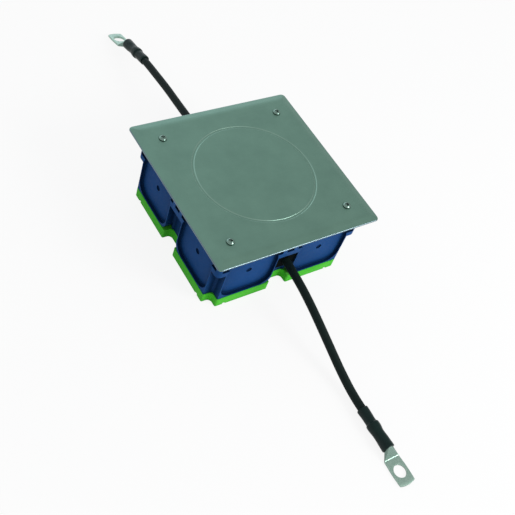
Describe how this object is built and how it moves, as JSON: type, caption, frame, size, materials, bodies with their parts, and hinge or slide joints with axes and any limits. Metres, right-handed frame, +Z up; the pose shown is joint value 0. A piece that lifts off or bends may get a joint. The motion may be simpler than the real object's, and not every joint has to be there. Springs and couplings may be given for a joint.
{
  "type": "earthing test joint box",
  "caption": "Square moulded earthing box with a screwed metal cover on a wider notched base; lugged earth cables leave two opposite sides and meet at a removable link inside.",
  "frame": {"origin": "centre of the base's underside, where the box stands on the ground", "axes": "+Z up to the cover; -Y is the side where the front cable leaves, +Y the side of the back cable; +X to the right seen from the front cable's side"},
  "size_m": [0.18, 0.6069, 0.0827],
  "materials": {
    "base_green": "fine moulded grain, satin",
    "body_blue": "fine moulded grain, satin",
    "cover_steel": "stainless sheet, fine brushed",
    "screw_steel": "stainless, turned",
    "bush_rubber": "matt moulded rubber",
    "cable_sheath": "smooth black sheath",
    "shrink_sleeve": "shrunk tube, half matt",
    "tinned_copper": "tin plated copper, matt",
    "joint_brass": "turned brass",
    "link_copper": "bare copper bar",
    "block_resin": "moulded resin, matt",
    "zinc_steel": "zinc plated steel"
  },
  "bodies": {
    "root": {"base_plate": "base_green", "box_body": "body_blue", "cover_plate": "cover_steel", "cover_gasket": "bush_rubber", "cover_screw_1": "screw_steel", "cover_screw_2": "screw_steel", "cover_screw_3": "screw_steel", "cover_screw_4": "screw_steel", "thread_insert_1": "joint_brass", "thread_insert_2": "joint_brass", "thread_insert_3": "joint_brass", "thread_insert_4": "joint_brass", "base_screw_1": "zinc_steel", "base_screw_2": "zinc_steel", "base_screw_3": "zinc_steel", "base_screw_4": "zinc_steel", "entry_bush_front": "bush_rubber", "entry_bush_back": "bush_rubber", "cable_front": "cable_sheath", "cable_back": "cable_sheath", "cable_tail_front": "cable_sheath", "cable_tail_back": "cable_sheath", "sleeve_front": "shrink_sleeve", "sleeve_back": "shrink_sleeve", "lug_front": "tinned_copper", "lug_back": "tinned_copper", "inner_lug_front": "tinned_copper", "inner_lug_back": "tinned_copper", "insulator_block": "block_resin", "block_screw_1": "zinc_steel", "block_screw_2": "zinc_steel", "link_bolt_front": "zinc_steel", "link_bolt_back": "zinc_steel", "test_link": "link_copper", "flat_washer_front": "zinc_steel", "flat_washer_back": "zinc_steel", "spring_washer_front": "zinc_steel", "spring_washer_back": "zinc_steel", "link_nut_front": "joint_brass", "link_nut_back": "joint_brass"}
  },
  "joints": []
}
